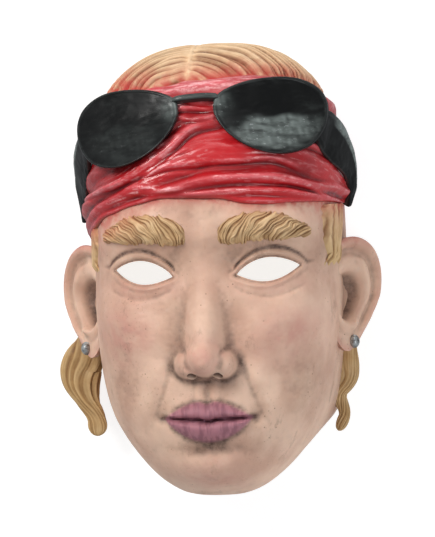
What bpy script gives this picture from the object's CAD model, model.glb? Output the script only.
# Moulded latex face mask with a headscarf and pushed-up sunglasses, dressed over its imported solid.
# Shapes are worked out in millimetres in the solid's own frame and turned to metres in the mesh.
import math

import bpy
import numpy as np
from mathutils import Matrix


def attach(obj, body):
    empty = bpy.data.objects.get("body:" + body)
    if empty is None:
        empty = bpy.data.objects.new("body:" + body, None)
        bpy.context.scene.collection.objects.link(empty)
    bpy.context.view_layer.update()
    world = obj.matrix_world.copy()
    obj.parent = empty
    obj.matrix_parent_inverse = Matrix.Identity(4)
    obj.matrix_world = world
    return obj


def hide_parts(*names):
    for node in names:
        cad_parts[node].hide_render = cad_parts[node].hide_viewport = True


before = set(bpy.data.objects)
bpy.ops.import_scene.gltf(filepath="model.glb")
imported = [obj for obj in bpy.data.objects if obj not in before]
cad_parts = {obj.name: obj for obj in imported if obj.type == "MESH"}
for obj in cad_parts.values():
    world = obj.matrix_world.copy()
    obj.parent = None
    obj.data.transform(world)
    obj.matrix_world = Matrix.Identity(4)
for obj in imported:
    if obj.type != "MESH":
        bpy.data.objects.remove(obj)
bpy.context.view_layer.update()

metre = 0.001  # millimetres to metres
degree = math.pi / 180


# basic curves

def ramp(value, start, end):  # smooth step from 0 at start to 1 at end
    t = np.clip((value - start) / (end - start), 0, 1)
    return t * t * (3 - 2 * t)


def bell(value, reach, power=2):  # 1 at 0, falling off to both sides by e to minus a power
    return np.exp(-np.abs(value / reach) ** power)


def mound(x, y, centreX, centreY, reachX, reachY):  # bell of height 1 over a point
    return np.exp(-((x - centreX) / reachX) ** 2 - ((y - centreY) / reachY) ** 2)


def mounds(forms, x, y, total=0):  # sum of mounds, each with its height first
    for high, *place in forms:
        total = total + high * mound(x, y, *place)
    return total


def bent(value, power):  # a power that keeps the sign
    return np.sign(value) * np.abs(value) ** power


def unit(vectors):  # each vector over its own length
    return vectors / np.linalg.norm(vectors, axis=-1, keepdims=True)


def blendMax(a, b, soft):  # the larger of two heights, the crease between them rounded
    share = np.clip(0.5 + 0.5 * (a - b) / soft, 0, 1)
    return b + (a - b) * share + soft * share * (1 - share)


def cubic(t, step, start, startLean, end, endLean):  # cubic from start to end with a slope at each
    return ((2 * t ** 3 - 3 * t ** 2 + 1) * start + (t ** 3 - 2 * t ** 2 + t) * step * startLean
            + (3 * t ** 2 - 2 * t ** 3) * end + (t ** 3 - t ** 2) * step * endLean)


def through(knots, at):  # smooth line through knots of (position, value), level where the knots turn
    place = np.array([k[0] for k in knots], float)
    value = np.array([k[1] for k in knots], float)
    slope = np.diff(value) / np.diff(place)
    lean = np.concatenate([[slope[0]], (slope[1:] + slope[:-1]) / 2, [slope[-1]]])
    lean[1:-1][slope[1:] * slope[:-1] <= 0] = 0
    at = np.clip(at, place[0], place[-1])
    i = np.clip(np.searchsorted(place, at) - 1, 0, len(place) - 2)
    step = place[i + 1] - place[i]
    return cubic((at - place[i]) / step, step, value[i], lean[i], value[i + 1], lean[i + 1])


hillTable = np.random.default_rng(7).random((256, 256)) * 2 - 1


def hills(x, y, seed=0):
    # soft random hills from -1 to 1, one unit apart: a table of random heights, eased between
    x, y = np.broadcast_arrays(x, y)
    ix, iy = np.floor(x).astype(int), np.floor(y).astype(int)
    fx, fy = x - ix, y - iy
    fx, fy = fx * fx * (3 - 2 * fx), fy * fy * (3 - 2 * fy)
    ix, iy = ix + 37 * seed, iy + 91 * seed

    def corner(a, b):
        return hillTable[(ix + a) & 255, (iy + b) & 255]
    low = corner(0, 0) * (1 - fx) + corner(1, 0) * fx
    high = corner(0, 1) * (1 - fx) + corner(1, 1) * fx
    return low * (1 - fy) + high * fy


def strand(phase):  # rounded strands side by side with narrow grooves, 0 in a groove and 1 on top
    return np.abs(np.sin(np.pi * phase)) ** 0.55


def grooves(phase, along, seed):
    # one groove at each whole phase, 1 at its bottom; each fades in and out along its length
    fade = np.clip(0.55 + 0.95 * hills(phase * 0.93, along, seed), 0, 1)
    return (1 - strand(phase) ** 1.4) * fade


def hollows(field, times):
    # how far each value lies below its surroundings: the field is blurred over its neighbours by
    # steps, and the values are taken from the blurred ones
    soft = field
    for _ in range(times):
        soft = np.pad(soft, 1, mode="edge")
        soft = (soft[1:-1, 1:-1] * 2 + soft[:-2, 1:-1] + soft[2:, 1:-1]
                + soft[1:-1, :-2] + soft[1:-1, 2:]) / 6
    return soft - field


def spread(first, second):  # two values on a grid, each from its low to its high in so many steps
    return np.meshgrid(np.linspace(*first), np.linspace(*second), indexing="ij")


def turns(count):  # even angles round a full turn
    return np.linspace(0, 2 * np.pi, count, endpoint=False)


# meshes

def addObject(name, data):  # a new object in the scene
    made = bpy.data.objects.new(name, data)
    bpy.context.scene.collection.objects.link(made)
    return made


def signedVolume(points, faces):  # sum over the faces' triangles of corner . (corner x corner)
    total = 0.0
    for corners in faces:
        first = points[corners[:, 0]]
        for k in range(1, corners.shape[1] - 1):
            total += np.einsum("ij,ij->", first, np.cross(points[corners[:, k]], points[corners[:, k + 1]]))
    return total


def makeMesh(name, points, faces, paint, marks):
    # faces is a list of whole-number arrays, one for each number of corners, turned to face outwards
    if signedVolume(points, faces) < 0:
        faces = [corners[:, ::-1] for corners in faces]
    mesh = bpy.data.meshes.new(name)
    mesh.vertices.add(len(points))
    mesh.vertices.foreach_set("co", (points * metre).astype(np.float32).ravel())
    loops = np.concatenate([corners.ravel() for corners in faces])
    sizes = np.concatenate([np.full(len(corners), corners.shape[1]) for corners in faces])
    starts = np.concatenate([[0], np.cumsum(sizes)[:-1]])
    mesh.loops.add(len(loops))
    mesh.loops.foreach_set("vertex_index", loops.astype(np.int32))
    mesh.polygons.add(len(sizes))
    mesh.polygons.foreach_set("loop_start", starts.astype(np.int32))
    mesh.update(calc_edges=True)
    mesh.validate()
    for label, values in marks.items():
        mark = mesh.attributes.new(label, "FLOAT", "POINT")
        mark.data.foreach_set("value", values.astype(np.float32).ravel())
    mesh.materials.append(paints[paint])
    return addObject(name, mesh)


def gridFaces(rows, columns, closed):
    # quads between neighbouring points of a grid, the last column joined to the first if closed
    across = columns if closed else columns - 1
    row, here = np.meshgrid(np.arange(rows - 1), np.arange(across), indexing="ij")
    right, row, below = (here + 1) % columns, row * columns, (row + 1) * columns
    return np.stack([row + here, row + right, below + right, below + here], -1).reshape(-1, 4)


def fillMarks(marks, shape):  # a mark that is one number holds it at every point
    return {label: np.broadcast_to(values, shape) for label, values in marks.items()}


def ringBody(name, rings, paint, marks):
    # closed body through a stack of rings, each end closed to the middle of its ring
    rows, columns = rings.shape[:2]
    points = np.concatenate([rings.reshape(-1, 3), rings[:1].mean(1), rings[-1:].mean(1)])
    here = np.arange(columns)
    right, apex = (here + 1) % columns, np.full(columns, rows * columns)
    lastRing = (rows - 1) * columns
    ends = np.concatenate([np.stack([right, here, apex], -1),
                           np.stack([here + lastRing, right + lastRing, apex + 1], -1)])
    marks = {label: np.concatenate([v.ravel(), [v[0].mean(), v[-1].mean()]])
             for label, v in fillMarks(marks, (rows, columns)).items()}
    return makeMesh(name, points, [gridFaces(rows, columns, True), ends], paint, marks)


def thickSheet(name, base, out, lift, under, paint, marks, ceiling=None):
    # closed sheet from its lift over the base to its depth under it, below the ceiling if it has one:
    # loops go out along the outer face and back along the inner one, which has a sixth as many
    # points; each end of the sheet is closed by one many-sided face
    outer, inner = base + out * lift[..., None], base - out * under
    if ceiling:
        outer[..., 2] = np.minimum(outer[..., 2], ceiling(outer[..., 0], outer[..., 1]))
    pick = np.linspace(outer.shape[1] - 1, 0, outer.shape[1] // 6).astype(int)
    loops = np.concatenate([outer, inner[:, pick]], 1)
    rows, columns = loops.shape[:2]
    end = np.arange(columns)[None]
    faces = [gridFaces(rows, columns, True), end[:, ::-1], end + (rows - 1) * columns]
    marks = {label: np.concatenate([v, v[:, pick]], 1)
             for label, v in fillMarks(marks, outer.shape[:2]).items()}
    finishPiece(makeMesh(name, loops.reshape(-1, 3), faces, paint, marks))


def domeBody(name, grid, floorZ, paint, marks):
    # closed dome: the bent grid with its rim at the floor level, and a flat fan below
    rows, columns = grid.shape[:2]
    grid = grid.copy()
    for edge in (grid[0], grid[-1], grid[:, 0], grid[:, -1]):
        edge[:, 2] = floorZ
    index = np.arange(rows * columns).reshape(rows, columns)
    rim = np.concatenate([index[0, :-1], index[:-1, -1], index[-1, :0:-1], index[:0:-1, 0]])
    points = np.concatenate([grid.reshape(-1, 3), [[0, 0, floorZ]]])
    fan = np.stack([np.roll(rim, -1), rim, np.full(len(rim), rows * columns)], -1)
    marks = {label: np.append(v.ravel(), 0) for label, v in fillMarks(marks, (rows, columns)).items()}
    return makeMesh(name, points, [gridFaces(rows, columns, False), fan], paint, marks)


def finishPiece(piece, sharp=80):  # smooth but for edges over the sharp angle; part of the mask
    piece.data.shade_smooth()
    piece.data.set_sharp_from_angle(angle=sharp * degree)
    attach(piece, "root")
    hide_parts("mask")


def ringPiece(name, rings, paint, marks, sharp=80):
    finishPiece(ringBody(name, rings, paint, marks), sharp)


def sided(name, sign):  # -1 is the viewer's left
    return name + ("_left" if sign < 0 else "_right")


# materials

def colour(code):  # screen colour written as hex, turned to the linear values that shaders use
    values = [int(code[k:k + 2], 16) / 255 for k in (0, 2, 4)]
    return (*(v / 12.92 if v <= 0.04045 else ((v + 0.055) / 1.055) ** 2.4 for v in values), 1)


tints = {name: colour(code) for name, code in dict(
    skin="e2c0a9", skinDeep="cba48f", flush="cc9083", shade="94705d", wash="4c3a33", speckle="7a5a4a",
    lip="ab747e", lipDeep="7b4d58", scarf="bd1b22", scarfDeep="640a11", scarfPale="da6066",
    scarfDry="f5b9ba", hair="dcb389", hairLight="f0d3ab", hairDeep="6a4425", ochre="c39b63",
    ochreLight="ddbf90", black="070808", blackWorn="767f7c", silver="b4b9ba", inside="ddceae",
    insideDeep="bda67c").items()}


class Paint:  # a node material that is built up in layers of tint
    def __init__(self, name, tint):
        self.material = bpy.data.materials.new(name)
        self.material.use_nodes = True
        self.tree = self.material.node_tree
        self.tone = tints[tint]

    def fill(self, socket, value):  # another node's output is linked, anything else is a plain value
        if isinstance(value, bpy.types.NodeSocket):
            self.tree.links.new(value, socket)
        else:
            socket.default_value = value

    def node(self, kind, output, sockets, **values):  # gives the named output of a new, filled node
        made = self.tree.nodes.new(kind)
        for key, value in values.items():
            setattr(made, key, value)
        for key, value in sockets.items():
            self.fill(made.inputs[key], value)
        return made.outputs[output]

    def place(self):  # the point in the mask's own frame
        return self.node("ShaderNodeTexCoord", "Object", {})

    def mark(self, name):  # the value of one of the mesh's own attributes
        return self.node("ShaderNodeAttribute", "Fac", {}, attribute_name=name)

    def noise(self, scale, detail=3, roughness=0.55, stretch=None):
        place = self.place()
        if stretch:
            place = self.node("ShaderNodeMapping", "Vector", {"Scale": stretch, "Vector": place})
        return self.node("ShaderNodeTexNoise", "Fac", {"Scale": scale, "Detail": detail,
                                                       "Roughness": roughness, "Vector": place})

    def spots(self, scale):  # distance to the nearest of scattered points
        return self.node("ShaderNodeTexVoronoi", "Distance", {"Scale": scale, "Vector": self.place()})

    def span(self, value, low, high, toLow=0.0, toHigh=1.0):  # smooth step between two values
        return self.node("ShaderNodeMapRange", "Result", {
            "Value": value, "From Min": low, "From Max": high, "To Min": toLow, "To Max": toHigh},
            interpolation_type="SMOOTHSTEP")

    def patches(self, scale, detail, low, high, toLow=0.0, toHigh=1.0, roughness=0.55, stretch=None):
        return self.span(self.noise(scale, detail, roughness, stretch), low, high, toLow, toHigh)

    def mix(self, share, a, b):  # colour b over colour a by the share
        return self.node("ShaderNodeMix", 2, {0: share, 6: a, 7: b}, data_type="RGBA")

    def layer(self, tint, within, *levels, **shape):
        # a tint over the tone so far by its patches, only within a mark or another node's share
        share = self.patches(*levels, **shape)
        if isinstance(within, str):
            within = self.mark(within)
        if within:
            share = self.node("ShaderNodeMath", 0, {0: within, 1: share}, operation="MULTIPLY")
        self.tone = self.mix(share, self.tone, tints[tint] if isinstance(tint, str) else tint)

    def bump(self, height, distance, strength=1.0, **below):  # below: the Normal that it lies on
        return self.node("ShaderNodeBump", "Normal", {"Height": height, "Distance": distance,
                                                      "Strength": strength, **below})

    def finish(self, roughness, normal, **sockets):
        shader = self.tree.nodes["Principled BSDF"]
        sockets = {"Base_Color": self.tone, "Roughness": roughness, "Normal": normal, **sockets}
        for name, value in sockets.items():
            self.fill(shader.inputs[name.replace("_", " ")], value)
        return self.material


def skinPaint():
    # peach latex: slow drift of tone, flush, brown wash in the creases, lips, speckles, red overspray
    p = Paint("skin paint", "skin")
    p.layer("skinDeep", None, 26, 4, 0.35, 0.68)
    p.layer("flush", "flush", 90, 3, 0.3, 0.7, 0.35)
    p.layer("shade", "shade", 55, 5, 0.3, 0.7, 0.45, roughness=0.65)
    p.layer("wash", "crease", 160, 5, 0.35, 0.65, 0.55, roughness=0.7)
    p.layer("speckle", p.patches(22, 2, 0.4, 0.62), 70, 6, 0.54, 0.7, 0.0, 0.42, 0.78, (1, 0.4, 1))
    p.layer("speckle", p.patches(30, 3, 0.45, 0.65), 420, 5, 0.56, 0.7, 0.0, 0.5, 0.8)
    p.layer("speckle", p.span(p.spots(230), 0.16, 0.05), 45, 2, 0.52, 0.66, 0.0, 0.75)
    lines = p.patches(330, 2, 0.42, 0.62, 0.0, 0.55, 0.5, (1, 0.12, 0.4))
    lip = p.mix(p.mark("crease"), p.mix(lines, tints["lip"], tints["lipDeep"]), tints["lipDeep"])
    p.tone = p.mix(p.mark("lip"), p.tone, lip)
    p.layer("scarf", "spray", 150, 3, 0.3, 0.68, 0.25, 0.9, 0.6)
    pores = p.bump(p.noise(900, 3, 0.6), 0.0002, 0.35)
    grain = p.bump(p.noise(190, 4, 0.6), 0.0006, 0.3, Normal=pores)
    return p.finish(p.patches(120, 3, 0.3, 0.7, 0.48, 0.66), grain,
                    Subsurface_Weight=0.1, Subsurface_Radius=(0.004, 0.002, 0.0012), Subsurface_Scale=1.0,
                    Specular_IOR_Level=0.3)


def insideLatex():  # bare cream latex with darker drips
    p = Paint("inside latex", "inside")
    p.layer("insideDeep", None, 35, 5, 0.35, 0.7, roughness=0.65)
    p.layer("insideDeep", None, 70, 3, 0.5, 0.75, 0.0, 0.35, 0.5, (1, 0.2, 1))
    return p.finish(p.patches(80, 3, 0.3, 0.7, 0.55, 0.75), p.bump(p.noise(240, 4), 0.0006, 0.5))


def scarfPaint():
    # glossy red: dark in the furrows, pinker on the broad crests, dry pale flecks along them
    p = Paint("scarf paint", "scarf")
    p.layer("scarfDeep", None, 34, 4, 0.38, 0.66, 0.0, 0.55, 0.6, (0.5, 1, 0.7))
    p.layer("scarfPale", "crest", 75, 5, 0.34, 0.62, 0.2, 1.0, 0.7, (0.4, 1, 0.6))
    p.layer("scarfDeep", "crease", 120, 4, 0.25, 0.6, 0.6)
    p.layer("scarfDry", "crest", 260, 5, 0.5, 0.64, 0.0, 0.4, 0.75, (0.3, 1, 0.5))
    p.layer("scarfDry", "fleck", 420, 3, 0.3, 0.6, 0.25, 0.95)
    return p.finish(p.patches(150, 3, 0.35, 0.65, 0.32, 0.52),
                    p.bump(p.noise(200, 5, 0.65, (0.3, 1, 1)), 0.0009, 0.5),
                    Coat_Weight=0.55, Coat_Roughness=0.15, Coat_IOR=1.45, Specular_IOR_Level=0.3)


def hairPaint():
    # blond over brown: the wash stays in the grooves, the strand tops are lighter; locks are ochre
    p = Paint("hair paint", "hair")
    ochre = p.mark("ochre")
    p.tone = p.mix(ochre, p.tone, tints["ochre"])
    p.layer("hairDeep", None, 60, 4, 0.4, 0.75, 0.0, 0.35)
    p.layer(p.mix(ochre, tints["hairLight"], tints["ochreLight"]), "crest", 90, 3, 0.3, 0.7, 0.4)
    p.layer("hairDeep", "crease", 150, 3, 0.2, 0.6, 0.6)
    p.layer("scarf", "spray", 120, 4, 0.28, 0.6, 0.2)
    return p.finish(p.patches(140, 3, 0.3, 0.7, 0.45, 0.65), p.bump(p.noise(500, 3), 0.0003, 0.4),
                    Specular_IOR_Level=0.35)


def glassesPaint():
    # black brushed on thickly, rubbed grey on the rims and swept across the lenses
    p = Paint("glasses paint", "black")
    p.layer("blackWorn", None, 40, 5, 0.5, 0.8, 0.0, 0.1, 0.62, (0.6, 1.8, 1))
    p.layer("blackWorn", "worn", 150, 3, 0.28, 0.62, 0.3, 1.0, 0.6, (0.35, 1.6, 1))
    p.layer("silver", "worn", 420, 3, 0.62, 0.7, 0.0, 0.8, 0.7, (0.6, 1.4, 1))
    return p.finish(p.patches(70, 4, 0.35, 0.7, 0.3, 0.44),
                    p.bump(p.noise(120, 5, 0.62, (0.4, 1.3, 1)), 0.0006, 0.3),
                    Coat_Weight=0.1, Coat_Roughness=0.22, Specular_IOR_Level=0.24)


def studPaint():  # half metallic grey with brown in its grain
    p = Paint("stud paint", "silver")
    p.layer("wash", None, 300, 4, 0.4, 0.7)
    return p.finish(0.36, p.bump(p.noise(500, 3), 0.0003, 0.4), Metallic=0.55)


paints = {"skin": skinPaint(), "inside": insideLatex(), "scarf": scarfPaint(), "hair": hairPaint(),
          "glasses": glassesPaint(), "stud": studPaint()}
print("paints ready")


# blank head: the form that every piece is laid on

head = dict(halfWidth=86, crown=147.63, chin=157, depth=130, roundTop=2.9, roundChin=3.4, rise=15, wall=2.6,
            step=1.7)  # step is how far the face and all that lies on the front stand off the blank head
widthShare = [(-150, 0.6), (-138, 0.69), (-120, 0.79), (-93, 0.895), (-64, 0.945),
              (0, 0.97), (40, 0.975), (80, 1.0), (100, 1.035), (120, 1.05), (150, 1.0)]


def shareAt(y, z):  # share of the half width: narrow at the jaw, less so near the back rim
    return through(widthShare, y) ** (0.35 + 0.65 * ramp(z, 0, 90))


def powerAt(down):  # the block's power: rounder at the top, squarer towards the chin
    return head["roundTop"] + (head["roundChin"] - head["roundTop"]) * ramp(down, 0, 0.6)


def blockOut(dx, dy, dz, power):  # outward direction of the rounded block: the slopes of its formula
    return unit(np.stack([bent(dx, power - 1) / head["halfWidth"], bent(dy, power - 1) / head["crown"],
                          np.abs(dz) ** (power - 1) / head["depth"]], -1))


def blankHead(u, v):
    # a square bent to half a ball, and the ball to a rounded block; gives points and outward directions
    p, q = u * np.sqrt(1 - v * v / 2), v * np.sqrt(1 - u * u / 2)
    r = np.maximum(np.hypot(p, q), 1e-9)
    dx, dy, dz = np.sin(r * np.pi / 2) * p / r, np.sin(r * np.pi / 2) * q / r, np.cos(r * np.pi / 2)
    power = powerAt(-dy)
    length = (np.abs(dx) ** power + np.abs(dy) ** power + np.abs(dz) ** power) ** (-1 / power)
    dx, dy, dz = dx * length, dy * length, dz * length
    x, z = head["halfWidth"] * dx, head["depth"] * dz
    y = np.where(dy > 0, head["crown"], head["chin"]) * dy
    return np.stack([x * shareAt(y, z), y, z], -1), blockOut(dx, dy, dz, power)


def headAt(angle, y):
    # the same head for y above 0, by height and by angle round from the front in degrees
    n = head["roundTop"]
    s, c = np.sin(angle * degree), np.cos(angle * degree)
    level = y / head["crown"]
    reach = np.maximum(1 - np.abs(level) ** n, 0) ** (1 / n)
    block = (np.abs(s) ** n + np.abs(c) ** n) ** (-1 / n)
    dx, dz = s * block * reach, c * block * reach
    z = head["depth"] * dz
    x = head["halfWidth"] * dx * shareAt(y, z)
    return np.stack([x, y + 0 * x, z], -1), blockOut(dx, level, dz, n)


def faceLift(z):  # the face's step off the blank head, none at the back rim
    return head["step"] * ramp(z, 4, 46)


def liftFront(base, out):
    # raises points to the face's level and turns their outward directions level at the rim;
    # gives their depth before
    z = base[..., 2].copy()
    base[..., 2] += faceLift(z)
    out[..., 2] *= ramp(z, 0, 10)
    return z


def raiseChin(points):  # the underside of the chin rises towards the back rim
    y, z = points[..., 1], points[..., 2]
    points[..., 1] += head["rise"] * ramp(y, -96, -135) * (1 - ramp(z, 0, 96))


# face: calm, on the proportions of an upright adult head; its forms are given for one side, by their
# distance from the middle and their height on the face

nose = dict(baseY=-64, tip=32.5, wing=18.5, soft=(6, 9), nostrilX=8.4, nostrilZ=141.5)
noseHeight = [(-80, 0), (-72, 0), (-66, 4), (-60, 17), (-55, 25), (-48, 27.5),
              (-40, 25.5), (-26, 18.5), (-10, 10.5), (4, 4.2), (14, 1.2), (24, 0)]
noseSpread = [(-70, 14), (-46, 13), (-30, 12.5), (-12, 10.8), (4, 10), (22, 12)]
hollowHeight = [(-57, 0), (-53, 13), (-48, 21), (-40, 20), (-26, 14), (-10, 6), (0, 1.5), (8, 0)]
mouth = dict(y=-93, half=28, upper=12.6, lower=15)
eyes = dict(inner=20.5, outer=59.5, innerY=-2.5, outerY=2, up=8.2, down=6.8)
browArch = dict(y=23, rise=6, start=6, reach=64, ridge=4.4)
faceForms = dict(  # height, then the middle and the reach across and along
    chin=(14, 0, -129, 29, 19), frontOfJaw=(6, 0, -106, 46, 32), roundOfTeeth=(5, 0, -88, 33, 23),
    hollowUnderLip=(-3, 0, -113, 20, 6), cheekbone=(6, 58, -28, 22, 16),
    cheekHollow=(-3.5, 57, -68, 17, 18), frontOfCheek=(3, 31, -42, 15, 15), temple=(-4, 80, 20, 12, 20),
    socket=(-13, 41, 3.5, 24, 14.5), innerCorner=(-5, 20, 5, 7.5, 10), lids=(10.5, 40, -0.5, 20, 12.5))
lipGroove = [(-1.5, 0, -75, 2.8, 7), (1.0, 5.4, -76, 2.3, 7)]


def browLine(side):  # half a sine wave from the inner end to the outer one
    s = np.clip((side - browArch["start"]) / browArch["reach"], 0, 1)
    return browArch["y"] + browArch["rise"] * np.sin(s * np.pi) ** 0.9


def faceRelief(side, y):  # sum of the broad forms and the ridge under the brows
    return (mounds(faceForms.values(), side, y)
            + browArch["ridge"] * bell(y - browLine(side), 10) * ramp(side, 84, 58))


def noseBlend(ridge, tip, wing):  # the highest of the three, their creases rounded
    return blendMax(blendMax(ridge, tip, nose["soft"][0]), wing, nose["soft"][1])


def noseRelief(side, y):  # ridge, tip and wing as bells, and nothing away from the nose
    ridge = through(noseHeight, y) * bell(side, through(noseSpread, y), 2.4)
    up = y - nose["baseY"]
    tip = nose["tip"] * np.exp(-((side / 12.4) ** 2 + ((up - 11.3) / 12.8) ** 2) ** 1.8)
    wing = nose["wing"] * np.exp(-(((side - 10.6) / 9.6) ** 2 + ((up - 6.4) / 9.4) ** 2) ** 2.1)
    return noseBlend(ridge, tip, wing) - noseBlend(0.0, 0.0, 0.0)


def lipEdges(side):  # share of the way to the corner, and where the lips part, start and end there
    s = np.clip(side / mouth["half"], 0, 1)
    part = mouth["y"] - 1.3 * bell(side, 4.5) + 0.6 * s ** 3
    top = mouth["y"] + mouth["upper"] - 2.2 * bell(side, 3.6) - 11.4 * s ** 1.9
    low = mouth["y"] - mouth["lower"] + 14.2 * s ** 2.1
    return s, part, top, low


def lipRelief(side, y):  # two bowed bands that meet in a groove
    s, part, top, low = lipEdges(side)
    inUpper = np.clip((y - part) / np.maximum(top - part, 0.5), 0, 1)
    inLower = np.clip((part - y) / np.maximum(part - low, 0.5), 0, 1)
    upper = 5.4 * np.abs(np.sin(np.pi * inUpper ** 0.75)) ** 0.85
    lower = 7 * np.abs(np.sin(np.pi * inLower ** 0.62)) ** 0.85
    taper = np.sqrt(np.maximum(1 - s ** 2.2, 0))
    groove = 4.4 * bell(y - part, 1.5) * ramp(side, 32, 24)
    return taper * np.where(y >= part, upper, lower) - groove - 2.6 * mound(side, y, 30, mouth["y"], 4, 4.5)


def lipMark(side, y):  # 1 on the painted lips
    _, _, top, low = lipEdges(side)
    return ramp(y, low - 0.6, low + 1.2) * ramp(y, top + 0.6, top - 1.2) * ramp(side, 29.5, 27.5)


def eyeLids(s):  # heights of the upper and lower lid margins: bows over the line between the corners
    line = eyes["innerY"] + (eyes["outerY"] - eyes["innerY"]) * s
    return (line + eyes["up"] * np.abs(np.sin(np.pi * s ** 0.92)) ** 0.8,
            line - eyes["down"] * np.abs(np.sin(np.pi * s ** 1.1)) ** 0.85)


def eyeEdge(side, y):  # how far outside the almond opening a point lies, below 0 inside it
    top, low = eyeLids(np.clip((side - eyes["inner"]) / (eyes["outer"] - eyes["inner"]), 0, 1))
    off = np.maximum(y - top, low - y)
    over = np.maximum(np.maximum(eyes["inner"] - side, side - eyes["outer"]), 0)
    return np.where(over > 0, np.hypot(over, np.maximum(off, 0)), off * 0.93)


def fineFace(side, y):
    # lid folds, rounded lid margins, the groove over the lip, cheek fold, lines on the lips
    s = np.clip((side - eyes["inner"] + 2) / (eyes["outer"] - eyes["inner"] + 6), 0, 1)
    bow = np.abs(np.sin(np.pi * s))
    upperFold = eyes["innerY"] + 4.5 * s + 8.4 * bow ** 0.7 + 6.4 * (0.35 + 0.65 * bow ** 0.6)
    z = -1.7 * bell(y - upperFold, 1.5) * (ramp(side, 14, 22) * ramp(side, 72, 62))
    lowerFold = -9.5 - 7 * np.sin(np.clip((side - 18) / 46, 0, 1) * np.pi)
    z = z - 1.1 * bell(y - lowerFold, 2.2) * ramp(side, 16, 24) * ramp(side, 66, 56)
    edge = eyeEdge(side, y)
    z = z + 1.3 * bell(edge - 2.6, 1.4) - 1.5 * bell(np.maximum(edge, 0), 1.7)
    z = mounds(lipGroove, side, y, z)
    foldX = 23.5 + 13 * np.clip((-58 - y) / 38, 0, 1) ** 1.3
    run = ramp(y, -104, -86) * ramp(y, -52, -62)
    z = z - 1.3 * bell(side - foldX, 3.2) * run
    z = z + 1.5 * bell(side - foldX - 9, 8) * run
    lines = hills(side * 0.5, y * 0.06, 3) + 0.6 * hills(side * 1.1, y * 0.1, 4)
    return z + 0.28 * lines * lipMark(side, y)


def frontPoint(x, y):  # depth of the bare face at a point seen from the front
    side = np.abs(x)
    n = powerAt(-y / head["chin"])
    height = np.where(y > 0, head["crown"], head["chin"])
    left = 1 - (side / (head["halfWidth"] * through(widthShare, y))) ** n - (np.abs(y) / height) ** n
    bare = head["depth"] * np.maximum(left, 0) ** (1 / n)
    return bare + faceRelief(side, y) + noseRelief(side, y) + head["step"]


# scarf

scarf = dict(thickness=3.6, midX=-12, lowerY=47, upperY=122, upperSlant=0.09, along=380, across=180,
             under=2.2, edgeRoll=3, lensGap=1.2)
folds = [  # line of the crest (angle round the head, height), where it starts and ends, how high,
    # how wide above the line and below it, depth of the furrow below
    ([(-90, 30), (-60, 42), (-38, 55), (-24, 68), (-12, 80), (-4, 90), (8, 95), (24, 98)],
     -100, 30, 2.7, 6.5, 3.4, 1.8),
    ([(-90, 22), (-59, 42), (-31, 58), (-16, 68), (-4, 74), (10, 78), (23, 78), (38, 73), (55, 63), (72, 53),
      (90, 42)], -100, 100, 2.5, 3.6, 8.0, 2.2),
    ([(-22, 53), (-4, 57), (14, 60), (29, 60), (44, 55), (63, 50), (90, 46)], -34, 100, 2.3, 2.6, 3.6, 1.4),
    ([(-10, 50), (-4, 50), (18, 51), (31, 49), (48, 46), (64, 44), (90, 42)], -14, 60, 1.8, 2.2, 2.8, 0.8),
    ([(-90, 10), (-62, 31), (-31, 48), (-14, 52), (0, 50)], -100, 0, 1.7, 4.5, 3.6, 0.9),
    ([(-90, 48), (-60, 60), (-40, 72), (-24, 84), (-12, 96), (0, 102)], -100, 2, 1.8, 5.5, 4.5, 1.0),
    ([(6, 106), (20, 96), (40, 90), (60, 82), (90, 68)], 2, 100, 2.4, 5.5, 4.0, 1.4),
    ([(-90, 88), (-40, 105), (0, 115), (40, 112), (90, 99)], -100, 100, 1.8, 4.0, 4.5, 1.0),
    ([(36, 110), (60, 107), (75, 103), (90, 99)], 34, 100, 2.6, 4.5, 4.5, 1.2),
    ([(-90, 76), (-50, 92), (-20, 106), (20, 105), (50, 96), (90, 82)], -100, 100, 1.5, 5.0, 4.0, 1.0),
    ([(-14, 107), (0, 105.5), (12, 107)], -16, 14, 1.1, 1.6, 1.4, 0.7),
    ([(-16, 100.5), (-4, 102), (10, 100)], -18, 12, 1.1, 1.8, 1.4, 0.8),
    ([(-14, 96.5), (-3, 95.5), (8, 97)], -16, 12, 1.0, 1.5, 1.3, 0.7),
    ([(-70, 46), (-45, 52), (-26, 62), (-12, 73), (0, 80)], -74, 2, 1.0, 1.8, 1.6, 0.8),
    ([(-28, 60), (-10, 66), (10, 69), (28, 69), (44, 62)], -30, 46, 1.1, 2.2, 1.8, 0.9),
    ([(20, 56), (36, 55), (52, 47), (70, 40)], 18, 74, 0.9, 1.6, 1.6, 0.6),
    ([(34, 84), (52, 76), (72, 66), (90, 58)], 30, 100, 1.3, 2.6, 2.2, 0.9),
]


def scarfLower(x, z):  # lower edge: falls to the temple on the left and stays nearly level on the right
    left = np.maximum(scarf["midX"] - x, 0) / 80
    behind = np.where(x < scarf["midX"], 0.12, 0.04) * np.maximum(60 - z, 0)
    return scarf["lowerY"] - 31 * left ** 2.4 - 5.5 * ramp(x, scarf["midX"], 45) - behind


def scarfUpper(x, z):  # upper edge: a slanted arch that falls towards the back
    return scarf["upperY"] + scarf["upperSlant"] * x - 6 * (x / 70) ** 2 - 0.18 * np.maximum(83 - z, 0)


def overspray(distance, reach):  # red spray past the scarf's edge, fading by e to minus the distance
    return np.exp(-np.maximum(distance, 0) / reach)


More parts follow.
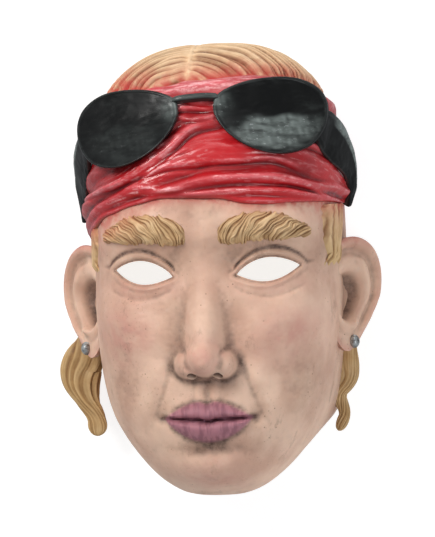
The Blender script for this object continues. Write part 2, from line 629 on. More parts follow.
def foldHeight(angle, y, z):
    # each fold is a crest with its own slopes above and below, over a furrow; the flecks are short
    # strokes of dry paint along the crests
    height, flecks = 0 * y, 0 * y
    for k, (line, start, end, high, over, under, furrow) in enumerate(folds):
        above = y - through(line, angle) - 1.3 * hills(angle * 0.07, 0 * y + 3.3, 40 + k)
        shown = ramp(angle, start, start + 14) * ramp(angle, end, end - 14)
        wide = np.where(above > 0, over, under) * (1 + 0.25 * hills(angle * 0.06, 0 * y, 60 + k))
        crest = bell(above, wide, 1.8)
        cut = bell(above + 1.5 * under, 0.42 * under + 0.5)
        height = height + shown * (high * crest - 1.25 * furrow * cut)
        strokes = ramp(hills(angle * 0.3, above * 1.3, 80 + k), 0.4, 0.66)
        strokes = strokes * ramp(hills(angle * 0.07, 0 * y, 20 + k), -0.35, 0.2)
        strokes = strokes * (0.3 + 0.7 * ramp(np.abs(angle), 42, 22))
        flecks = np.maximum(flecks, shown * strokes * crest ** 1.5 * min(high / 2, 1))
    slack = hills(angle * 0.05, y * 0.16, 5) + 0.5 * hills(angle * 0.12, y * 0.4, 6)
    return (height + 0.5 * slack) * ramp(z, -10, 40), flecks


def edgeAngleHeight(edge, angle):  # the edge's height at each angle, found by stepping onto the head
    y = scarf["lowerY"] + 0 * angle
    for _ in range(6):
        point = headAt(angle, y)[0]
        y = edge(point[..., 0], point[..., 2])
    return y


def underLens(x, y):
    # depth that the scarf stays below: the back of a lens, and free beyond an oval as large as the lens
    across = (np.abs(x - glasses["shift"]) - glasses["centreX"]) / 37
    level = y - glasses["centreY"] - 0.049 * (x - glasses["shift"])
    beyond = np.hypot(across, level / 25) - 0.94
    return lensFace(x, y) - glasses["dish"] - scarf["lensGap"] + 60 * np.maximum(beyond, 0)


def buildScarf():
    # band round the head between its two edges, with folds square to the head, edges rolled under
    angle, t = spread((-90, 90, scarf["along"]), (0, 1, scarf["across"]))
    low = edgeAngleHeight(scarfLower, angle) + 0.9 * hills(angle * 0.11, 0 * angle, 8)
    high = edgeAngleHeight(scarfUpper, angle) + 0.9 * hills(angle * 0.12, 0 * angle, 9)
    y = low + (high - low) * t
    base, out = headAt(angle, y)
    z = liftFront(base, out)
    fold, flecks = foldHeight(angle, y, z)
    near = np.minimum(y - low, high - y)
    edgeShare = np.clip(near / scarf["edgeRoll"], 0, 1)
    roll = np.sqrt(edgeShare * (2 - edgeShare))
    lift = (scarf["thickness"] + fold * ramp(near, 0, 5)) * (0.5 + 0.5 * ramp(z, 0, 14)) * roll
    lift = np.maximum(lift, 1.2 * roll)
    topRoll = mound(y, angle, high - 5, -8, 4.5, 38)
    cavity, wide = hollows(lift, 12), hollows(lift, 80)
    crease = np.clip(cavity * 1.6 - 0.06, 0, 0.9) + np.clip(wide * 0.45 - 0.1, 0, 0.6)
    marks = {"crease": np.clip(crease, 0, 1),
             "crest": np.clip(-cavity * 1.2, 0, 0.5) + np.clip(-wide * 0.7 - 0.1, 0, 0.6) + 0.9 * topRoll,
             "fleck": np.maximum(flecks, topRoll * ramp(hills(angle * 0.14, y * 1.1, 97), -0.35, 0.35))}
    thickSheet("headscarf", base, out, lift, scarf["under"], "scarf", marks, underLens)


# skin

skin = dict(columns=230, rows=320, innerColumns=100, innerRows=124, cutFrom=20, cutTo=180, innerFloor=-2)
rowSpread = [(-1, -1), (-0.84, -0.64), (0.64, 0.3), (1, 1)]
nostril = dict(wide=3.2, deep=4.48, reach=9, room=(4.4, 6.5, 12), roomShift=(0, 10, -8.5))
flushForms = [(0.8, 52, -40, 20, 18), (0.75, 0, -54, 15, 12), (0.6, 0, -128, 20, 12), (0.5, 40, -8, 26, 8)]
shadeForms = [(0.55, 40, 6, 32, 15), (0.5, 19, -40, 7, 26), (0.55, 60, -74, 15, 24), (0.75, 0, -112, 26, 6),
              (0.6, 31, -88, 7, 16), (0.5, 78, 18, 12, 24), (0.4, 9, 30, 6, 16), (0.7, 0, -72, 15, 4)]


def cutBody(rings, dark):  # a cutter that has the skin's marks, for the walls that its cut leaves
    return ringBody("cut", rings, "skin", dict(crease=dark, shade=dark, lip=0, flush=0, spray=0))


def eyePrism(sign):  # almond outline pushed straight back through the face
    s = 0.5 - 0.5 * np.cos(np.linspace(0, np.pi, 48))
    top, low = eyeLids(s)
    across = eyes["inner"] + (eyes["outer"] - eyes["inner"]) * s
    x = np.concatenate([across, across[-2:0:-1]]) * sign
    ring = np.stack([x, np.concatenate([top, low[-2:0:-1]]), 0 * x], -1)
    return cutBody(np.stack([ring + [0, 0, skin["cutFrom"]], ring + [0, 0, skin["cutTo"]]]), 0.25)


def nostrilBodies(sign):
    # an oval passage up from under the nose, and the egg-shaped room that it opens into
    turn = turns(40)
    ring = np.stack([nostril["wide"] * np.cos(turn), 0 * turn, nostril["deep"] * np.sin(turn)], -1)
    middle = np.array([sign * nose["nostrilX"], nose["baseY"], nose["nostrilZ"]])
    reach = np.linspace(-nostril["reach"], nostril["reach"], 5)
    passage = middle + ring[None] + np.stack([0 * reach, reach, 0 * reach], -1)[:, None]
    polar = np.linspace(0.05, np.pi - 0.05, 20)[:, None]
    flat = np.sin(polar)
    egg = np.stack([flat * np.cos(turn), flat * np.sin(turn), np.cos(polar) + 0 * turn], -1)
    room = egg * nostril["room"] + middle + nostril["roomShift"]
    return [cutBody(rings, 1.0) for rings in (passage, room)]


def cutAway(piece, cutters):  # takes each cutter out of the piece, with the cutter's paint on the new wall
    for cutter in cutters:
        step = piece.modifiers.new("cut", "BOOLEAN")
        step.operation, step.solver, step.object = "DIFFERENCE", "MANIFOLD", cutter
        step.material_mode = "TRANSFER"
    shape = piece.evaluated_get(bpy.context.evaluated_depsgraph_get())
    mesh = bpy.data.meshes.new_from_object(shape)
    piece.modifiers.clear()
    piece.data = mesh
    for cutter in cutters:
        bpy.data.objects.remove(cutter)
    return piece


def buildOuterSkin():
    # the blank head with the face's relief square to the back, its rows crowded on the face
    t, s = spread((-1, 1, skin["rows"]), (-1, 1, skin["columns"]))
    base, _ = blankHead(0.66 * s + 0.34 * s ** 3, through(rowSpread, t))
    x, y, z = np.moveaxis(base, -1, 0)
    side = np.abs(x)
    relief = faceRelief(side, y) + noseRelief(side, y) + lipRelief(side, y) + fineFace(side, y)
    relief = relief + 0.35 * hills(x * 0.13, y * 0.13, 11) + 0.12 * hills(x * 0.5, y * 0.5, 12)
    lifted = ramp(z, 4, 46) * relief + faceLift(z)
    points = np.stack([x, y, z + lifted], -1)
    raiseChin(points)
    marks = {
        "crease": np.clip(hollows(lifted, 10) * 1.15 - 0.06, 0, 0.72)
        + np.clip(hollows(lifted, 60) * 0.14 - 0.06, 0, 0.25),
        "lip": lipMark(side, y),
        "flush": mounds(flushForms, side, y),
        "shade": np.clip(mounds(shadeForms, side, y) + 0.55 * ramp(z, 70, 10), 0, 0.85),
        "spray": 0.85 * overspray(scarfLower(x, z) - y, 2.6 + 8 * ramp(x, -22, -58) + 3 * ramp(x, 48, 74)),
    }
    return domeBody("mask_skin", points, 0, "skin", marks)


def buildInnerSkin():
    # the blank head one wall further in, with the broad forms and the hollow of the nose
    t, s = spread((-1, 1, skin["innerRows"]), (-1, 1, skin["innerColumns"]))
    base, out = blankHead(0.6 * s + 0.4 * s ** 3, 0.72 * t + 0.28 * t ** 3)
    x, y, z = np.moveaxis(base, -1, 0)
    side = np.abs(x)
    ridge = through(hollowHeight, y) * bell(side, through(noseSpread, y) - 4.5, 2.4)
    tip = 1 - (side / 9.5) ** 2 - ((y - nose["baseY"] - 15.5) / 8.5) ** 2
    room = np.maximum(np.maximum(ridge, 30 * np.sqrt(np.maximum(tip, 0)) - 4), 0)
    out[..., 2] *= ramp(z, 0, 10)
    lift = ramp(z, 4, 46) * (faceRelief(side, y) + room - 1.4 * mound(side, y, 24, 0, 12, 18))
    inner = base - out * head["wall"] * (1 + 0.35 * ramp(z, 30, 5))[..., None]
    inner[..., 2] += lift
    raiseChin(inner)
    return domeBody("cut", inner, skin["innerFloor"], "inside", {})


def buildSkin():  # the outer form less the inner one, the eye holes and the nostrils
    body = buildOuterSkin()
    cutters = [buildInnerSkin(), eyePrism(-1), eyePrism(1), *nostrilBodies(-1), *nostrilBodies(1)]
    finishPiece(cutAway(body, cutters), 62)


# hair: three sizes of grooves are cut into each piece, and its marks are weighed sums of them

def weigh(shares, cuts):  # sum of the cuts, each times its share
    return sum(share * cut for share, cut in zip(shares, cuts))


def hairMarks(style, cuts, ochre, spray):
    # brown in the grooves up to the darkest share, pale where the grooves leave something of it
    return {"crease": np.clip(weigh(style["brown"], cuts), 0, style["darkest"]),
            "crest": np.clip(style["pale"] - weigh(style["dull"], cuts), 0, 1),
            "ochre": ochre, "spray": spray}


crown = dict(partX=-9.5, columns=330, rows=184, startV=0.45, under=2.2, high=3.9, cuts=(2.9, 2.3, 0.5),
             parting=1.2, brown=(1.05, 1.15, 0.35), darkest=1, pale=0.9, dull=(0.8, 1.2, 0.5))


def buildCrown():
    # cap over the crown: strands leave the parting, run outwards and bend down to the scarf
    base, out = blankHead(*spread((-1, 1, crown["columns"]), (crown["startV"], 1, crown["rows"])))
    z = liftFront(base, out)
    x, y = base[..., 0], base[..., 1]
    away, half = np.abs(x - crown["partX"]), np.sign(x - crown["partX"])
    back = 83 - z + 0.0095 * away ** 2 + 6 * hills(away * 0.035 + 9 * half, z * 0.03, 21)
    back = back + 1.6 * hills(away * 0.09, back * 0.11 + 5 * half, 22)
    cuts = [grooves(back / 12.5, away / 40 + 7 * half, 23),
            grooves(back / 4.9 + 0.2, away / 26 + 5 * half, 24),
            grooves(back / 1.9, away / 16 + 3 * half, 25)]
    cuts = [cut * (1 - 0.9 * bell(away, 2.4)) for cut in cuts]
    parting = bell(away, 3.2)
    relief = crown["high"] - weigh(crown["cuts"], cuts) - crown["parting"] * parting + 0.6 * bell(away, 0.9)
    above = y - scarfUpper(x, z)
    lift = relief * (0.5 + 0.5 * ramp(z, 0, 14)) * ramp(above, -0.5, 6.5) + 0.6 * ramp(above, -2.4, -0.8)
    lift = lift - 0.8 * ramp(above, -2, -4)
    left = ramp(x, -25, -75) * ramp(z, 12, 55)
    marks = hairMarks(crown, cuts, 0, (0.95 + 0.35 * left) * overspray(above, 6 + 17 * left))
    marks["crease"] *= 1 - 0.8 * parting
    thickSheet("crown_hair", base, out, lift, crown["under"], "hair", marks)


sideHair = dict(top=40, low=4, frontAngle=52, backAngle=76, rows=110, columns=70, under=2, high=3.2,
                cuts=(1.5, 0.7), brown=(0.95, 0.55), darkest=0.9, pale=0.8, dull=(1.2, 0.8))


def buildSideHair(sign):
    # patch in front of the ear, from under the scarf down to a ragged end
    t, s = spread((0, 1, sideHair["rows"]), (0, 1, sideHair["columns"]))
    phase = s * 5 + 0.5 * hills(s * 3, t * 3, 31) + 1.2 * t
    y = sideHair["top"] + (sideHair["low"] - sideHair["top"]) * t - 6 * t ** 2 * strand(phase * 0.6)
    middle = 0.5 * (sideHair["frontAngle"] + sideHair["backAngle"])
    width = (sideHair["backAngle"] - sideHair["frontAngle"]) * (1 - 0.45 * t ** 1.5)
    ragged = 1.6 * hills(t * 5 + 2, 0 * t, 34) + 1.2 * hills(t * 14 + 5, 0 * t, 35)
    base, out = headAt(sign * (middle + (s - 0.5) * width - 3 * t + ragged * (1 - s)), y)
    base[..., 2] += ramp(base[..., 2], 4, 46) * faceRelief(np.abs(base[..., 0]), y) + faceLift(base[..., 2])
    cuts = [grooves(phase, t * 2.2 + 4 * sign, 32), grooves(phase * 2.7 + 0.4, t * 3.5 + 4 * sign, 33)]
    rim = ramp(np.minimum(np.minimum(s, 1 - s) * 6, (1 - t) * 7), 0, 1)
    lift = -0.6 + rim * (sideHair["high"] - weigh(sideHair["cuts"], cuts))
    spray = 0.8 * overspray(scarfLower(base[..., 0], base[..., 2]) - y, 7)
    marks = hairMarks(sideHair, cuts, 0.4 + 0.6 * t, spray)
    thickSheet(sided("side_hair", sign), base, out, lift, sideHair["under"], "hair", marks)


brow = dict(start=10, end=68, thick=8.8, high=4.8, rows=210, columns=84, under=2.2, cuts=(1.3, 1.2, 0.7),
            brown=(0.5, 0.85, 0.45), darkest=0.85, pale=0.85, dull=(0.6, 1.1, 0.7))
browWidth = [(0, 0.5), (0.1, 0.86), (0.35, 1), (0.65, 0.86), (0.87, 0.55), (1, 0.18)]


def buildBrow(sign):
    # tuft along the arch: strands lean outwards, steep at the inner end and flat at the outer one
    s, t = spread((0, 1, brow["rows"]), (-1, 1, brow["columns"]))
    side = brow["start"] + (brow["end"] - brow["start"]) * s
    rise = t * (brow["thick"] * through(browWidth, s))
    lean = 0.35 + 1.5 * s + 0.05 * rise
    phase = (side - lean * rise) / 2.9 + 1.0 * hills(s * 8, t * 1.7, 41)
    cuts = [grooves(phase / 2.3 + 0.3, rise / 9, 42), grooves(phase, rise / 6, 43),
            grooves(phase * 2.2 + 0.5 * hills(s * 20, t * 2, 44), rise / 4, 45)]
    tips = strand(phase / 1.15 + 0.3) * (0.6 + 0.4 * hills(s * 25, 0 * s, 46))
    y = browLine(side) - 1 + rise * (1 + 0.42 * tips * np.abs(t) ** 2 - 0.07)
    x = sign * (side + 1.6 * tips * np.maximum(t, 0) ** 2)
    bulge = np.sqrt(np.maximum(1 - np.abs(t) ** 2.4, 0)) * ramp(s, 0, 0.06) ** 0.5 * ramp(s, 1, 0.92) ** 0.5
    lift = -0.8 + bulge * (brow["high"] + 0.9 * hills(s * 12, t * 1.8, 47) - weigh(brow["cuts"], cuts))
    skinZ = frontPoint(x, y)
    slopeX = frontPoint(x + 0.5, y) - frontPoint(x - 0.5, y)
    slopeY = frontPoint(x, y + 0.5) - frontPoint(x, y - 0.5)
    out = unit(np.stack([-slopeX, -slopeY, 1 + 0 * slopeX], -1))
    base = np.stack([x, y, skinZ], -1)
    left = ramp(x, -22, -58)
    spray = (0.4 + 0.3 * left) * overspray(scarfLower(x, skinZ) - y, 5 + 6 * left)
    marks = hairMarks(brow, cuts, 0.6, spray)
    thickSheet(sided("brow", sign), base, out, lift, brow["under"], "hair", marks)


# bars: rings of flattened round section along a path

def lengthShare(points):  # share of the way along a path at each of its points
    length = np.concatenate([[0], np.cumsum(np.linalg.norm(np.diff(points, axis=0), axis=1))])
    return length / length[-1]


def barRings(path, flat, wide, thin, steps, sides, square=0.6):
    # the path is a smooth line through its points; the section's wide way is square to the path and
    # to the flat direction; the smaller square is, the squarer the section
    t = np.linspace(0, 1, steps)
    path = np.array(path, float)
    centre = np.stack([through(list(zip(lengthShare(path), path[:, k])), t) for k in range(3)], -1)
    along = unit(np.gradient(centre, axis=0))
    wideWay = unit(np.cross(along, np.array(flat, float)))
    thinWay = np.cross(wideWay, along)
    turn = turns(sides)
    c, s = bent(np.cos(turn), square)[None, :, None], bent(np.sin(turn), square)[None, :, None]
    wide, thin = wide(t)[:, None, None], thin(t)[:, None, None]
    rings = centre[:, None] + wideWay[:, None] * wide * c + thinWay[:, None] * thin * s
    return rings, t[:, None] + 0 * turn, turn + 0 * t[:, None], thinWay


lock = dict(thick=7, steps=180, sides=144, square=0.8, cuts=(1.9, 1.1, 0.4), brown=(0.7, 0.6, 0.35),
            darkest=0.85, pale=0.8, dull=(0.9, 0.9, 0.5))
lockSides = {  # full width, share of it lost at the tip, and the path
    -1: (13, 0.5, [(-70, -14, 18), (-84, -36, 22), (-92, -54, 26), (-99, -70, 27), (-95, -88, 28),
                   (-89, -102, 29), (-88, -114, 30)]),
    1: (9, 0.55, [(70, -14, 18), (79, -38, 22), (82.5, -58, 26), (82.5, -74, 27), (78, -89, 28),
                  (81.5, -102, 29), (77, -114, 30)]),
}


def buildLock(sign):
    # hanging lock: a tapering flat tube whose surface is grooved along its length
    full, taper, path = lockSides[sign]

    def tip(t):  # round end
        return np.sqrt(np.maximum(1 - np.clip((t - 0.92) / 0.08, 0, 1) ** 2, 0.01))

    def wide(t):  # narrow at the root, waved along its length
        return full * (1 - taper * ramp(t, 0.62, 0.9)) * (1 + 0.12 * np.sin(t * 14)) * tip(t) * (
            0.4 + 0.6 * ramp(t, 0, 0.3))

    def thin(t):
        return (lock["thick"] - 4 * ramp(t, 0.5, 1)) * tip(t)
    rings, t, turn, _ = barRings(path, (0, 0, 1), wide, thin, lock["steps"], lock["sides"], lock["square"])
    around = turn / (2 * np.pi)
    wave = 0.7 * np.sin(t * 7 + 1) + 0.35 * np.sin(t * 15)
    swing = wave * sign + 0.5 * np.sin(2 * np.pi * around + t * 6)
    cuts = [grooves(around * 7 + swing, t * 3 + 3 * sign, 51),
            grooves(around * 15 + 2 * swing, t * 4 + 3 * sign, 52),
            grooves(around * 38 + 5 * swing, t * 7, 53)]
    spoke = unit(rings - rings.mean(1, keepdims=True))
    depth = (1 - 0.45 * ramp(t, 0.5, 1)) * tip(t)
    rings = rings - spoke * (depth * weigh(lock["cuts"], cuts))[..., None]
    ringPiece(sided("hair_lock", sign), rings, "hair", hairMarks(lock, cuts, 1, 0))


# sunglasses

glasses = dict(dish=4.4, centreX=46.7, centreY=95.5, reach=86, bow=37, lean=0.5, front=128.8, shift=-1.8,
               tilt=2.8, turns=160, stations=100, rimWorn=0.0975, sweepLeft=0.1, sweepRight=0.95)
lensOutline = [(34.8, 7.7), (30.8, 15.4), (18.5, 23), (0.4, 25), (-21.6, 21.6), (-33.8, 14.7),
               (-35.4, 6.3), (-30.6, -4.6), (-17, -17.2), (1.8, -24.6), (15.8, -24), (25.4, -19.6),
               (33.3, -8.7), (35.4, 1.2)]
lensRim = [(0.02, -7), (0.5, -7), (0.96, -7), (0.995, -6.2), (1, -5), (1, -2), (0.997, -0.8), (0.984, 0.2),
           (0.965, 0.55), (0.945, 0.45), (0.92, 0.1)]  # share of the outline, height over the front


def lensFace(x, y):  # bowed round the forehead and leaning back with it
    bow = glasses["bow"] * (np.abs(x) / glasses["reach"]) ** 2.08
    return glasses["front"] - bow - glasses["lean"] * (y - glasses["centreY"])


def askew(x, y):  # the glasses sit a little to the viewer's left and higher on the right
    c, s = math.cos(glasses["tilt"] * degree), math.sin(glasses["tilt"] * degree)
    up = y - glasses["centreY"]
    return glasses["shift"] + x * c - up * s, glasses["centreY"] + x * s + up * c


def closedCurve(points, count):  # smooth closed line through points: cubic pieces with shared slopes
    p = np.array(points, float)
    length = np.linalg.norm(np.roll(p, -1, 0) - p, axis=1)
    place = np.concatenate([[0], np.cumsum(length)])
    at = np.linspace(0, place[-1], count, endpoint=False)
    i = np.clip(np.searchsorted(place, at, side="right") - 1, 0, len(p) - 1)
    before, here, after, later = (p[(i + k) % len(p)] for k in (-1, 0, 1, 2))
    stepBefore, step, stepLater = (length[(i + k) % len(p)][:, None] for k in (-1, 0, 1))
    leanHere = ((here - before) / stepBefore + (after - here) / step) / 2
    leanAfter = ((after - here) / step + (later - after) / stepLater) / 2
    return cubic(((at - place[i]) / length[i])[:, None], step, here, leanHere, after, leanAfter)


def buildLens(sign):
    # rings from the middle of the back, round the rim, to the middle of the dished front
    outline = closedCurve(lensOutline, glasses["turns"])
    profile = lensRim + [(share, 0.5 - glasses["dish"] * (1 - (share / 0.95) ** 2))
                         for share in (0.88, 0.8, 0.68, 0.54, 0.4, 0.24, 0.02)]
    station = np.linspace(0, len(profile) - 1, glasses["stations"])[:, None]
    share, lift = (through(list(enumerate(row)), station) for row in zip(*profile))
    across, level = share * outline[:, 0], share * outline[:, 1]
    x, y = askew(sign * (glasses["centreX"] + across), glasses["centreY"] + level)
    onFront = ramp(station, 7, 11)
    uneven = 0.4 * hills(x * 0.07, y * 0.1, 61) + 0.12 * hills(x * 0.25, y * 0.4, 62)
    rings = np.stack([x, y, lensFace(x, y) + lift + uneven * (0.5 + 0.8 * onFront)], -1)
    worn = glasses["rimWorn"] * bell(share - 0.965, 0.02) * ramp(station, 3, 6)
    patch = ramp(mound(across, level, 3, -9, 27, 15) + 0.2 * hills(x * 0.16, y * 0.4, 64), 0.22, 0.75)
    patch = patch * ramp(level + 1.5 * hills(x * 0.09, 0 * y, 67), 2.2, -2.0)
    patch = patch * (1 - 0.55 * ramp(across, 12, 32)) * glasses["sweepRight" if sign > 0 else "sweepLeft"]
    swirl = 0.5 + 0.5 * hills(x * 0.5 + y * 0.12, y * 0.16, 68)
    sweep = onFront * patch * (0.45 + 0.55 * swirl) + 0.7 * mound(across, level, -32, 11, 6, 8) * (
        0.4 + 0.6 * swirl)
    ringPiece(sided("lens", sign), rings, "glasses", {"worn": np.clip(worn + sweep, 0, 1)}, 75)


bridge = dict(half=15, above=14.4, wide=2.1, thin=3.4, steps=60, sides=40)


def buildBridge():  # short bar between the lenses, its ends tapered and its top edge rubbed grey
    path = []
    for along in (-bridge["half"], -6, 6, bridge["half"]):
        x, y = askew(along, glasses["centreY"] + bridge["above"] + 0.8 * math.cos(along / 10))
        path.append((x, y, float(lensFace(x, y)) - 0.6))
    rings, _, turn, _ = barRings(
        path, (0, 0.4, 0.9), lambda t: bridge["wide"] - 0.9 * np.abs(2 * t - 1) ** 8,
        lambda t: bridge["thin"] - 2.4 * np.abs(2 * t - 1) ** 8, bridge["steps"], bridge["sides"])
    ringPiece("bridge", rings, "glasses", {"worn": 0.12 + 0.3 * ramp(np.sin(turn), 0.5, 0.9)}, 70)


arm = dict(thin=2.8, bevel=1.2, inwards=0.7, wider=0.9, steps=110, sides=72)
armPaths = {  # places along the middle of each arm, and half its width there
    -1: [(-77, 88, 95, 8), (-83, 82, 80, 9.5), (-86.8, 72, 67, 11.3), (-90.5, 57, 48, 8),
         (-91.5, 45, 36.5, 3.6), (-91, 34, 29, 1.8)],
    1: [(74, 92, 97, 9), (79.5, 87.5, 84, 13), (84.5, 81, 73, 13), (88.8, 73.5, 61, 10.4),
        (91.7, 64.5, 49, 6.8), (92.3, 53, 38.5, 3.4), (87.9, 39.6, 28.5, 2.6)],
}


def buildArm(sign):
    # side arm: broad flat bar from the lens back and down to the ear, its outer edge rubbed grey
    path = np.array(armPaths[sign], float)
    path[1:-1] += [-arm["inwards"] * sign, -arm["inwards"], 0, arm["wider"]]  # wider on the inner side
    widths = list(zip(lengthShare(path[:, :3]), path[:, 3]))
    rings, t, turn, thinWay = barRings(path[:, :3], (sign * 0.72, 0, 0.69), lambda t: through(widths, t),
                                       lambda t: arm["thin"] + 0 * t, arm["steps"], arm["sides"])
    across = np.cos(turn)
    outward = -sign * across  # -1 on the inner long edge of the arm and 1 on the outer one
    bevel = arm["bevel"] * ramp(outward, 0.3, 1) * (np.sin(turn) > 0)
    uneven = 0.35 * hills(t * 9, 3 + 2 * across, 63) + 0.15 * hills(t * 30, 6 * across, 65)
    rings = rings + thinWay[:, None] * (uneven - bevel)[..., None]
    band = ramp(outward, 0.2, 0.27) * (0.9 + 0.3 * hills(t * 14, 4 * across, 66)) * ramp(t, 0.14, 0.3)
    worn = np.clip(1.2 * band * ramp(t, 0.98, 0.85), 0, 1) + 0.2 * ramp(-outward, 0.85, 1)
    ringPiece(sided("arm", sign), rings, "glasses", {"worn": worn}, 70)


# ears

ear = dict(root=(81, -20, 52), reach=37.2, half=39, flare=48, up=(0, 0.985, -0.17), front=0.1, rings=100,
           sides=160, folded=1.62)
earLift = [(0, -8.2), (0.2, -8), (0.34, -5), (0.46, 0.6), (0.56, 2.8), (0.64, 2.4), (0.74, 0.2), (0.8, 0.6),
           (0.88, 4.0), (0.93, 4.4), (0.98, 3.2), (1.0, 2.2)]
earBack = [(1, 2.2), (1.04, 0.4), (1.1, -2.2), (1.3, -6.5), (1.62, -9)]
earForms = [(1.6, 22, 12, 4, 9), (-1.2, 16, 20, 5, 5), (-3.5, 6, -6, 9, 11),  # inner fold, its pit, hollow
            (3.2, 4, 3, 8, 1.8), (3.6, 11, -21, 4, 3.5)]  # shelf across the hollow, knob over the lobe


def buildEar(sign):
    # upright oval cup: rings from the bottom of the hollow over the rolled rim and down the back
    flare = ear["flare"] * degree
    out = np.array([sign * math.cos(flare), 0, -math.sin(flare)])
    front = unit(np.array([sign * math.sin(flare), ear["front"], math.cos(flare)]))
    stage = np.linspace(0, ear["folded"], ear["rings"])[:, None]
    turn = turns(ear["sides"])[None]
    onFront = stage <= 1
    share = np.where(onFront, np.maximum(stage, 0.02), 1 - 0.95 * ramp(stage, 1.02, ear["folded"]) ** 1.2)
    share = np.where((stage > 1) & (stage < 1.1), 1 - 0.02 * (stage - 1) / 0.1, share)
    high = np.sin(turn)
    width = (ear["reach"] - 9) * (1 + 0.3 * high) * np.where(high < 0, 1 + 0.25 * high, 1)
    along = 9 + share * width * np.cos(turn) + 2.5 * high * share
    upward = -3 + share * (ear["half"] + np.where(high > 0, 2, -3)) * high
    lobe = ramp(upward, -18, -32)
    rim = through(earLift, np.minimum(stage, 1) + 0 * turn)
    frontLift = (rim + mounds(earForms, along, upward)) * (1 - lobe) + (3.2 - 1.6 * share) * lobe
    frontLift = frontLift + 0.25 * hills(along * 0.2, upward * 0.2, 71)
    lift = np.where(onFront, frontLift, through(earBack, stage))
    rings = (np.array(ear["root"]) * [sign, 1, 1] + along[..., None] * out
             + upward[..., None] * unit(np.array(ear["up"])) + lift[..., None] * front)
    deep = -frontLift * 0.11
    hollow = np.clip(hollows(frontLift, 12) * 0.9, 0, 0.9) + np.clip(deep, 0, 0.8)
    marks = {"crease": np.where(onFront, np.clip(hollow, 0, 0.95), 0.12), "lip": 0,
             "shade": np.where(onFront, np.clip(deep, 0, 0.85), 0.5),
             "flush": 0.6 * ramp(share, 0.8, 1), "spray": 0.6 * ramp(upward, 28, 42)}
    ringPiece(sided("ear", sign), rings, "skin", marks)


stud = dict(place=(90.5, -52, 51.0), radius=3.6, upright=1.25)
studProfile = [(0.1, -2.6), (0.7, -2.6), (0.95, -2.2), (1.0, -0.6), (0.97, 0.2), (0.86, 0.5), (0.8, 1.0),
               (0.74, 1.9), (0.6, 2.7), (0.4, 3.3), (0.2, 3.55), (0.05, 3.6)]  # share of the radius, height


def buildStud(sign):
    # domed stud with a narrow collar, set on the lobe: its profile turned round, a little upright
    turn = turns(48)[None]
    share, lift = np.array(studProfile).T[..., None]
    reach = share * stud["radius"]
    rings = np.stack([reach * np.cos(turn), stud["upright"] * reach * np.sin(turn), lift + 0 * turn], -1)
    rings = rings + np.array(stud["place"]) * [sign, 1, 1]
    ringPiece(sided("stud", sign), rings, "stud", {}, 40)


buildSkin()
print("skin ready")
buildScarf()
buildCrown()
print("scarf and crown ready")
for sign in (-1, 1):
    buildSideHair(sign)
    buildBrow(sign)
    buildLock(sign)
    buildLens(sign)
    buildArm(sign)
    buildEar(sign)
    buildStud(sign)
buildBridge()
print("pairs ready")


# camera, lights and floor, in metres

view = dict(turn=6.2, above=2.0, roll=2.0, distance=1.35, tall=0.355, aim=(0.0026, 0.0, 0.07), sensor=24)
lamps = [  # name, place, size, watts, colour
    ("key", (-0.75, 0.85, 1.25), 0.7, 19, (1, 0.985, 0.96)),
    ("fill", (0.9, -0.35, 1.2), 1.0, 8.5, (0.96, 0.98, 1)),
    ("top", (0.1, 1.3, 0.5), 0.8, 3.5, (1, 1, 1)),
]
lampAim = (0, 0, 0.06)
sky = dict(colour=(0.93, 0.96, 1, 1), strength=0.3)
floorSheet = dict(half=3.0, glow=0.8, roughness=0.9)
wallSheet = dict(radius=2.9, height=4.0, glow=0.75, roughness=0.5, sides=96)


def placeObject(made, right, up, back, place):  # the columns of its matrix: its own axes and its place
    matrix = np.eye(4)
    matrix[:3] = np.stack([right, up, back, place], -1)
    made.matrix_world = Matrix(matrix.tolist())


def addCamera():  # turned to the right, above and rolled as the photo's, its height set to the view
    data = bpy.data.cameras.new("camera")
    data.sensor_fit, data.sensor_height = "VERTICAL", view["sensor"]
    data.lens = view["sensor"] * view["distance"] / view["tall"]
    data.clip_end = 20
    turn, above, roll = view["turn"] * degree, view["above"] * degree, view["roll"] * degree
    back = np.array([math.sin(turn) * math.cos(above), math.sin(above), math.cos(turn) * math.cos(above)])
    right = unit(np.cross([math.sin(roll), math.cos(roll), 0], back))
    camera = addObject("camera", data)
    placeObject(camera, right, np.cross(back, right), back, np.array(view["aim"]) + back * view["distance"])
    bpy.context.scene.camera = camera


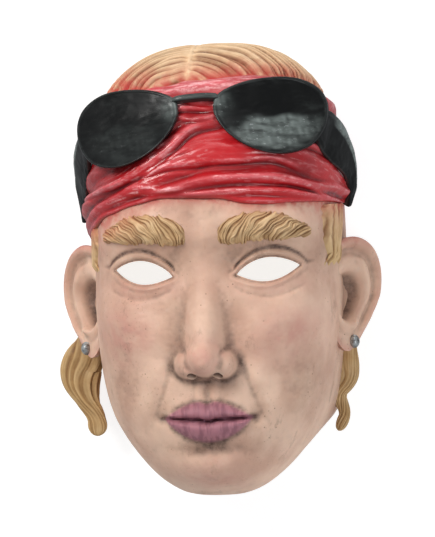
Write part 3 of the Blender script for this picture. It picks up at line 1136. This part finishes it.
def addLights():  # round soft lamps that face the mask, and a pale sky
    for name, place, size, watts, tint in lamps:
        data = bpy.data.lights.new(name, "AREA")
        data.shape, data.size, data.energy, data.color = "DISK", size, watts, tint
        aim = unit(np.array(lampAim) - np.array(place))
        side = unit(np.cross(aim, [0, 0, 1.0]))
        placeObject(addObject(name, data), side, np.cross(side, aim), -aim, place)
    world = bpy.data.worlds.new("studio")
    world.use_nodes = True
    background = world.node_tree.nodes["Background"]
    background.inputs["Color"].default_value = sky["colour"]
    background.inputs["Strength"].default_value = sky["strength"]
    bpy.context.scene.world = world


def addBackdrop(name, points, faces, sheet):  # pale sheet that glows, white through the eye holes too
    mesh = bpy.data.meshes.new(name)
    mesh.from_pydata(points, [], faces)
    material = bpy.data.materials.new(name)
    material.use_nodes = True
    inputs = material.node_tree.nodes["Principled BSDF"].inputs
    inputs["Base Color"].default_value = (0.35, 0.35, 0.35, 1)
    inputs["Roughness"].default_value = sheet["roughness"]
    inputs["Emission Color"].default_value = (1, 1, 1, 1)
    inputs["Emission Strength"].default_value = sheet["glow"]
    mesh.materials.append(material)
    return addObject(name, mesh)


def addFloor():  # square sheet that the mask lies on
    half = floorSheet["half"]
    corners = [(-half, -half, 0), (half, -half, 0), (half, half, 0), (-half, half, 0)]
    floor = addBackdrop("floor", corners, [(0, 1, 2, 3)], floorSheet)
    floor.visible_glossy = False  # so that the gloss on the sides doesn't turn pale


def addWall():  # round wall that only the camera sees, so that low views have a plain background
    count = wallSheet["sides"]
    turn, here = turns(count), np.arange(count)
    ring = np.stack([wallSheet["radius"] * np.cos(turn), wallSheet["radius"] * np.sin(turn), 0 * turn], -1)
    points = np.concatenate([ring, ring + [0, 0, wallSheet["height"]]])
    right = (here + 1) % count
    faces = np.stack([here, here + count, right + count, right], -1)
    wall = addBackdrop("wall", points.tolist(), faces.tolist(), wallSheet)
    wall.visible_diffuse = wall.visible_glossy = wall.visible_shadow = wall.visible_transmission = False


addCamera()
addLights()
addFloor()
addWall()
bpy.context.scene.view_settings.view_transform = "Standard"
print("stage ready")
